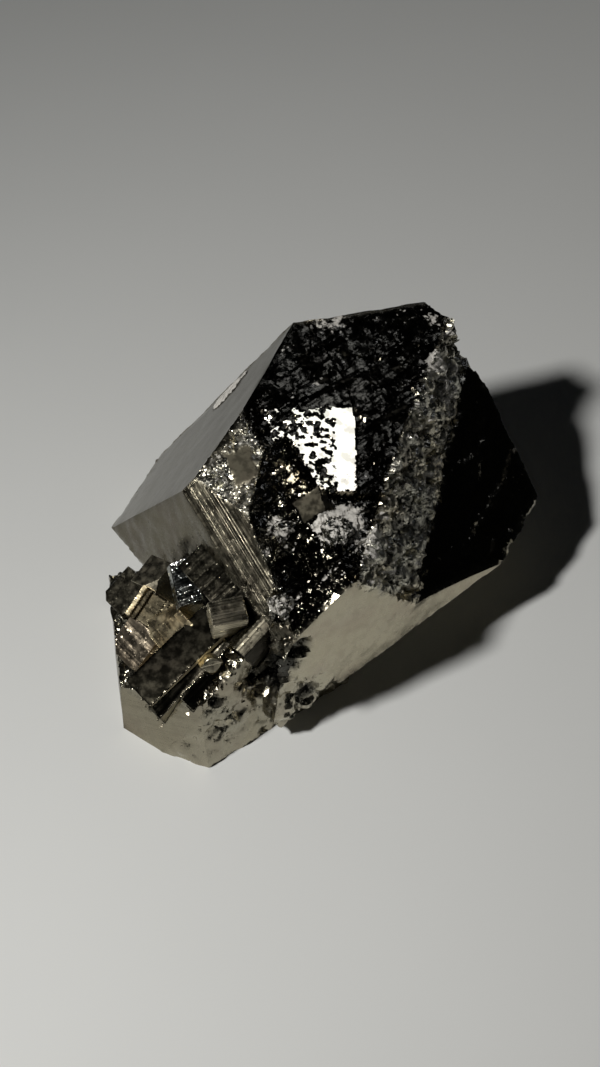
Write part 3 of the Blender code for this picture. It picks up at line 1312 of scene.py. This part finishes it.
@dataclass(frozen=True)
class SmallCrystal:
    """One small crystal of the cluster.

    Args:
        node: the CAD node that it stands for.
        turn: roll, pitch and heading of the crystal, degrees.
        finish: its material's name.
        pitch: width of its growth lines, mm.
        ridge: height of its growth lines, mm.
        lined: strength of the finest lines, 0 to 1.
        hackle: how broken its surface is, 0 to 1.
        swell: height of the slow unevenness, mm.
        rough: how dull its ends, its long sides and its upper face are, 0 for a mirror.
        along: the crystal's axis that its growth lines follow.
        tone: painted light and shade on its ends, its long sides and its upper face, scaling their
            metal colour.
        lines_on: how strongly the growth lines show on those faces, in the same order.
        edge_painted_shade: painted shade on its edges, against its faces, that dims the highlight
            they catch.
        taper: how far its ends narrow to a point, 0 to 1.
        hollow: depth of the steps down to the middle of its upper face, mm.
        rim: width of the frame around that hollow, as a share of the crystal.
    """

    node: str
    turn: Triple
    finish: Look = Look.FACET
    pitch: float = 0.8
    ridge: float = 0.05
    lined: float = 0.5
    hackle: float = 0.08
    swell: float = 0.01
    rough: Triple = (0.15, 0.15, 0.15)
    along: Axis = Axis.LENGTH
    tone: Triple = (0.8, 0.8, 0.8)
    lines_on: Triple = (1.0, 1.0, 1.0)
    edge_painted_shade: float = 1.0
    taper: float = 0.0
    hollow: float = 0.0
    rim: float = 0.3
    grow: float = 0.22  # mm that it fills of the gap around it
    bevel: float = 0.07  # mm
    detail: int = 6
    crease: float = 14.0  # degrees, sharper edges stay hard

    def axes(self) -> np.ndarray:
        """Work out which way the crystal lies.

        Returns:
            Its three axes, as the columns of a matrix.
        """
        turn = Matrix.Identity(3)
        for degrees, axis in zip(reversed(self.turn), "ZYX"):
            turn = turn @ Matrix.Rotation(math.radians(degrees), 3, axis)
        return np.array(turn)

    def meshed(self) -> bpy.types.Object:
        """Copy the CAD node, let it fill most of its gap, soften its edges and mesh it finely.

        Returns:
            The crystal, still without relief.
        """
        piece = copy_of_node(self.node, f"pyrite_{self.node}")
        bpy.ops.object.mode_set(mode="EDIT")
        bpy.ops.mesh.select_all(action="SELECT")
        bpy.ops.transform.shrink_fatten(value=self.grow * MM, use_even_offset=True)
        bpy.ops.mesh.bevel(offset=self.bevel * MM, segments=1, affect="EDGES")
        bpy.ops.object.mode_set(mode="OBJECT")
        remesh(piece, self.detail)
        return piece

    def build(self) -> bpy.types.Object:
        """Build the crystal.

        Returns:
            The finished piece.
        """
        piece = self.meshed()
        points, normals = points_of(piece), normals_of(piece)
        low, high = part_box(self.node)
        axes = self.axes()
        own = (points - np.array(low + high) / (2.0 * MM)) @ axes
        facing = np.abs(normals @ axes)
        flat = facing.max(axis=1)
        share = facing**4 / (facing**4).sum(axis=1)[:, None]
        lined = share @ np.array(self.lines_on)
        across = self.across_lines(own, facing)
        height = self.relief(points, across, lined * smooth_step(0.8, 0.97, flat))
        moved = points + normals * height[:, None]
        deep = self.steps(own, normals @ axes) if self.hollow else np.zeros(len(points))
        moved -= deep[:, None] * axes[:, Axis.HEIGHT]
        length = np.abs(own[:, Axis.LENGTH])
        narrow = self.taper * smooth_step(0.1, 1.0, length / length.max())
        moved -= (narrow * own[:, Axis.WIDTH])[:, None] * axes[:, Axis.WIDTH]
        set_points(piece, moved)
        # Painted shade: the edges are darkened against the faces to dim the highlight they catch.
        edge = self.edge_painted_shade + (1.0 - self.edge_painted_shade) * smooth_step(0.972, 0.994, flat)
        upper = facing[:, Axis.HEIGHT] > 0.4
        set_fields(
            piece,
            hackle=self.hackle,
            quartz=0.0,
            # painted shade: each face's painted light and shade, darker edges, and a darkened
            # stepped hollow
            shade=share @ np.array(self.tone) * edge * np.where(deep > 0.1, 0.2, 1.0),
            rough=np.where(upper, self.rough[Axis.HEIGHT], share @ np.array(self.rough)),
            lined=self.lined * lined,
            across=across,
        )
        smooth_shading(piece, self.crease)
        return piece

    def across_lines(self, own: np.ndarray, facing: np.ndarray) -> Field:
        """Measure the points across the growth lines.

        Args:
            own: the points along the crystal's axes, mm.
            facing: how squarely each looks along each axis.

        Returns:
            The place of each point across the lines of its side, mm.
        """
        first, second = (axis for axis in Axis if axis != self.along)
        on_first = facing[:, first] >= facing[:, second]
        return np.where(on_first, own[:, second], own[:, first])

    def relief(self, points: np.ndarray, across: Field, lined: Field) -> Field:
        """Work out the relief of the faces.

        Args:
            points: the points, mm.
            across: the place of each across the growth lines, mm.
            lined: how strongly the growth lines show at each.

        Returns:
            How far each point moves outwards, mm.
        """
        seed = float(len(self.node)) + abs(self.turn[2]) / 10.0
        height = self.ridge * lined * lines(across, self.pitch, seed)
        height += self.swell * waves(points, 1.8, seed, 3)
        if self.hackle > 0.3:
            height += 0.25 * self.hackle * plates(points, 1.2, seed, 0.5, 0.4)
        return height

    def steps(self, own: np.ndarray, normals: np.ndarray) -> Field:
        """Step the upper face down to its middle.

        Args:
            own: the points along the crystal's axes, mm.
            normals: which way they look, along the same axes.

        Returns:
            How far each point lies below the rim, mm.
        """
        reach = np.abs(own) / np.abs(own).max(axis=0)
        inward = 1.0 - np.maximum(reach[:, Axis.LENGTH], reach[:, Axis.WIDTH])
        top = smooth_step(0.6, 0.9, normals[:, Axis.HEIGHT])
        stairs = smooth_step(self.rim, self.rim + 0.06, inward) + smooth_step(0.55, 0.6, inward)
        return top * self.hollow * stairs


CRYSTALS = (
    SmallCrystal(
        "beam_crystal", (7, -25, 38), pitch=1.0, ridge=0.07, lined=0.2, hackle=0.0, swell=0.0,
        rough=(0.1, 0.6, 0.07), tone=(0.1, 1.6, 0.2), lines_on=(0.0, 1.0, 0.02), edge_painted_shade=0.02,
    ),
    SmallCrystal(
        "striated_cube", (15, -1, 14), pitch=0.5, ridge=0.11, lined=0.6, hackle=0.1, swell=0.0,
        rough=(0.3, 0.35, 0.3), tone=(0.9, 1.1, 0.6),
    ),
    SmallCrystal(
        "dark_crystal", (25, 3, -52), pitch=0.4, ridge=0.02, lined=0.3, hackle=0.1, swell=0.0,
        rough=(0.1, 0.1, 0.1), along=Axis.WIDTH, tone=(0.5, 0.5, 0.55),
    ),
    SmallCrystal(
        "edge_crystal", (20, 11, -77), finish=Look.BLUE, pitch=0.3, ridge=0.015, lined=0.35,
        hackle=0.3, swell=0.01, rough=(0.2, 0.45, 0.12), along=Axis.WIDTH, tone=(0.5, 1.1, 0.5),
    ),
    SmallCrystal(
        "capped_crystal", (19, -24, -47), pitch=1.5, ridge=0.01, lined=0.1, hackle=0.1, swell=0.01,
        rough=(0.2, 0.3, 0.3), tone=(0.3, 0.4, 0.9),
    ),
    SmallCrystal(
        "dark_cube", (30, -1, -51), pitch=1.2, ridge=0.01, lined=0.1, hackle=0.1, swell=0.01,
        rough=(0.1, 0.1, 0.2), tone=(0.1, 0.1, 0.25),
    ),
    SmallCrystal(
        "stepped_crystal", (34, 15, -31), finish=Look.GOLD, pitch=0.7, ridge=0.03, lined=0.5,
        hackle=0.1, swell=0.0, rough=(0.3, 0.3, 0.3), tone=(0.9, 0.9, 0.8), hollow=0.4, rim=0.26,
    ),
    SmallCrystal(
        "gold_crystal", (38, -34, 24), finish=Look.GOLD, pitch=0.6, ridge=0.08, lined=0.8,
        hackle=0.1, swell=0.0, rough=(0.3, 0.3, 0.28), along=Axis.WIDTH, tone=(1.3, 1.3, 1.3),
    ),
    SmallCrystal(
        "brown_crystal", (45, 4, -49), finish=Look.BROWN, pitch=0.9, ridge=0.05, lined=0.2,
        hackle=0.28, swell=0.05, rough=(0.35, 0.35, 0.3), tone=(0.55, 0.55, 0.55),
    ),
    SmallCrystal(
        "ridge_crystal", (18, -25, 42), pitch=0.5, ridge=0.02, lined=0.4, hackle=0.1, swell=0.0,
        rough=(0.2, 0.4, 0.3), tone=(0.22, 0.25, 0.25), edge_painted_shade=0.3,
    ),
    SmallCrystal(
        "long_slab", (18, -25, 41), pitch=0.5, ridge=0.02, lined=0.4, hackle=0.1, swell=0.0,
        rough=(0.15, 0.35, 0.2), tone=(0.4, 0.8, 0.4), edge_painted_shade=0.3,
    ),
    SmallCrystal(
        "short_slab", (24, -23, 41), pitch=0.5, ridge=0.02, lined=0.4, hackle=0.1, swell=0.0,
        rough=(0.1, 0.2, 0.08), tone=(0.5, 0.7, 0.35),
    ),
    SmallCrystal(
        "leaf_crystal", (59, -3, 16), pitch=0.8, ridge=0.02, lined=0.3, hackle=0.1, swell=0.0,
        rough=(0.3, 0.3, 0.3), tone=(1.6, 1.6, 1.6), taper=0.8, detail=5,
    ),
)


@dataclass(frozen=True)
class QuartzGrain:
    """One pale grain that sits in the break."""

    node: str
    swell: float = 0.16  # mm
    grow: float = 0.05  # mm that it fills of the gap around it
    detail: int = 5
    hackle: float = 0.9
    tone: float = 0.35  # painted shade on its metal parts, scaling their colour
    rough: float = 0.15
    crease: float = 16.0  # degrees, sharper edges stay hard

    def build(self) -> bpy.types.Object:
        """Build the grain.

        Returns:
            The finished piece.
        """
        piece = copy_of_node(self.node, f"{self.node}_stone")
        bpy.ops.object.mode_set(mode="EDIT")
        bpy.ops.mesh.select_all(action="SELECT")
        bpy.ops.transform.shrink_fatten(value=self.grow * MM)
        bpy.ops.object.mode_set(mode="OBJECT")
        remesh(piece, self.detail)
        points, normals = points_of(piece), normals_of(piece)
        height = waves(points, 0.9, 7.0, 2) + 1.6 * plates(points, 0.9, 8.0, 0.8, 0.9)
        set_points(piece, points + normals * (self.swell * height)[:, None])
        quartz = 0.5 + 0.25 * waves(points, 1.2, 10.0, 3)
        set_fields(
            piece,
            hackle=self.hackle,
            quartz=quartz,
            shade=self.tone,
            rough=self.rough,
            lined=0.0,
            across=0.0,
        )
        smooth_shading(piece, self.crease)
        return piece


# --------------------------------------------------------------------------- studio


@dataclass
class Studio:
    """The floor, the lights and the camera."""

    aim: Triple = (-3.067, -0.363, 12.0)  # mm, where the camera looks
    distance: float = 350.0  # mm
    elevation: float = 50.0  # degrees
    lens: float = 94.5  # mm, on a 36 mm sensor
    key_height: float = 220.0  # mm above the floor
    key_lean: tuple[float, float] = (-0.65, -0.35)  # sideways reach for each unit of height
    key_size: float = 30.0  # mm
    key_radiance: float = 190.0
    key_colour: Triple = (1.0, 0.985, 0.95)
    key_aim: Triple = (0.0, 0.0, 15.0)  # mm
    box_distance: float = 130.0  # mm from the break to the softbox that it mirrors
    box_radiance: float = 2.8
    box_colour: Triple = (0.93, 1.0, 1.2)
    box_spare: tuple[float, float] = (1.12, 1.15)  # its width and height, against the mirrored part
    back_place: Triple = (60.0, 420.0, 190.0)  # mm
    back_size: tuple[float, float] = (260.0, 160.0)  # mm
    back_radiance: float = 0.22
    room_colour: Triple = (0.85, 0.95, 1.0)
    room_level: float = 0.003
    floor_half: float = 1500.0  # mm

    def eye(self) -> Vector:
        """Return where the camera stands, mm."""
        rise = math.radians(self.elevation)
        return Vector(self.aim) + self.distance * Vector((0.0, -math.cos(rise), math.sin(rise)))

    def set_camera(self) -> None:
        """Put the camera in place."""
        made = bpy.data.cameras.new("camera")
        made.lens = self.lens
        made.clip_start = 0.01
        camera = bpy.data.objects.new("camera", made)
        bpy.context.scene.collection.objects.link(camera)
        place = self.eye()
        camera.location = place * MM
        camera.rotation_euler = (Vector(self.aim) - place).to_track_quat("-Z", "Y").to_euler()
        bpy.context.scene.camera = camera

    def lamp(
        self,
        name: str,
        place: Vector,
        aim: Vector,
        size: tuple[float, float],
        radiance: float,
        side: Vector = Vector((1.0, 0.0, 0.0)),
    ) -> bpy.types.Object:
        """Hang an area light.

        Args:
            name: its name.
            place: where it hangs, mm.
            aim: what it points at, mm.
            size: its width and height, mm.
            radiance: how bright its face is.
            side: the direction that its width runs in.

        Returns:
            The light.
        """
        made = bpy.data.lights.new(name, "AREA")
        made.shape = "RECTANGLE"
        made.size, made.size_y = size[0] * MM, size[1] * MM
        made.energy = radiance * math.pi * made.size * made.size_y
        lamp = bpy.data.objects.new(name, made)
        bpy.context.scene.collection.objects.link(lamp)
        lamp.visible_camera = False
        lamp.location = place * MM
        back = (place - aim).normalized()
        up = back.cross(side).normalized()
        lamp.rotation_euler = Matrix((up.cross(back), up, back)).transposed().to_euler()
        return lamp

    def hang_lights(self) -> None:
        """Hang the key light, the softbox that the break mirrors, and a faint light behind."""
        aim = Vector(self.key_aim)
        key = Vector((*self.key_lean, 1.0)) * self.key_height
        lamp = self.lamp("key_light", key, aim, (self.key_size, self.key_size), self.key_radiance)
        lamp.data.shape = "DISK"
        lamp.data.color = self.key_colour
        self.hang_softbox()
        place = Vector(self.back_place)
        back = self.lamp("back_light", place, aim, self.back_size, self.back_radiance)
        back.visible_diffuse = False

    def hang_softbox(self) -> None:
        """Hang the softbox whose mirror image fills the bright part of the break."""
        mass = MainMass()
        flat = flat_of(mass.node, mass.zones[mass.patch_face].facing)
        eye = self.eye()
        image = eye - 2.0 * (eye.dot(flat.normal) - flat.reach) * flat.normal

        def seen(x: float, y: float) -> Vector:
            """Find where the break shows the softbox's plane.

            Args:
                x: a place on the break, mm.
                y: the same, mm.

            Returns:
                The place that the camera sees mirrored there, mm.
            """
            z = (flat.reach - flat.normal.x * x - flat.normal.y * y) / flat.normal.z
            place = Vector((x, y, z))
            return place + (place - image).normalized() * self.box_distance

        (left, front), (right, rear) = mass.patch_low, mass.patch_high
        x, y = (left + right) / 2.0, (front + rear) / 2.0
        middle = seen(x, y)
        side = seen(right, y) - seen(left, y)
        depth = (seen(x, rear) - seen(x, front)).length
        aim = middle + (image - middle) / 2.0
        size = (self.box_spare[0] * side.length, self.box_spare[1] * depth)
        box = self.lamp("softbox", middle, aim, size, self.box_radiance, side)
        box.data.color = self.box_colour
        box.visible_diffuse = False

    def lay_floor(self) -> bpy.types.Object:
        """Lay the floor.

        Returns:
            The floor.
        """
        bpy.ops.object.select_all(action="DESELECT")
        bpy.ops.mesh.primitive_plane_add(size=2.0 * self.floor_half * MM)
        floor = bpy.context.object
        floor.name = "floor"
        floor.data.materials.append(Paper().dress())
        return floor

    def darken_room(self) -> None:
        """Fill the surroundings with the faint light of a dark room."""
        world = bpy.data.worlds.new("dark_room")
        world.use_nodes = True
        shade = world.node_tree.nodes["Background"]
        shade.inputs["Color"].default_value = (*self.room_colour, 1.0)
        shade.inputs["Strength"].default_value = self.room_level
        bpy.context.scene.world = world

    def build(self) -> None:
        """Set the whole studio up."""
        self.lay_floor()
        self.hang_lights()
        self.set_camera()
        self.darken_room()
        bpy.context.scene.view_settings.view_transform = "Standard"


# --------------------------------------------------------------------------- the whole specimen


FINISHES = (
    Pyrite(Look.MASS),
    Pyrite(Look.FACET),
    Pyrite(Look.BLUE, colour=(0.46, 0.49, 0.49), tarnish=(0.38, 0.38, 0.34)),
    Pyrite(Look.GOLD, colour=(0.66, 0.56, 0.36), tarnish=(0.58, 0.44, 0.24)),
    Pyrite(Look.QUARTZ),
    Pyrite(Look.BROWN, colour=(0.44, 0.35, 0.24), tarnish=(0.30, 0.21, 0.12)),
)


def attach(
    piece: bpy.types.Object, node: str, finish: Look, materials: dict[Look, bpy.types.Material]
) -> None:
    """Dress a piece, and let it stand for its CAD node.

    Args:
        piece: the object.
        node: the CAD node's name.
        finish: what it is dressed in.
        materials: the material of each finish.
    """
    piece.data.materials.clear()
    piece.data.materials.append(materials[finish])
    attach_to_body(piece, ROOT)
    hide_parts(node)
    LOG.info("%s: %d faces", piece.name, len(piece.data.polygons))


def main() -> None:
    """Build the studio, the main mass, the small crystals and the quartz grains."""
    logging.basicConfig(level=logging.INFO, format="%(name)s %(message)s")
    Studio().build()
    materials = {finish.look: finish.dress() for finish in FINISHES}
    attach(MainMass().build(), "main_mass", Look.MASS, materials)
    for crystal in CRYSTALS:
        attach(crystal.build(), crystal.node, crystal.finish, materials)
    for node in ("quartz_grain_low", "quartz_grain_middle", "quartz_grain_right"):
        attach(QuartzGrain(node).build(), node, Look.QUARTZ, materials)


if __name__ == "__main__":
    main()
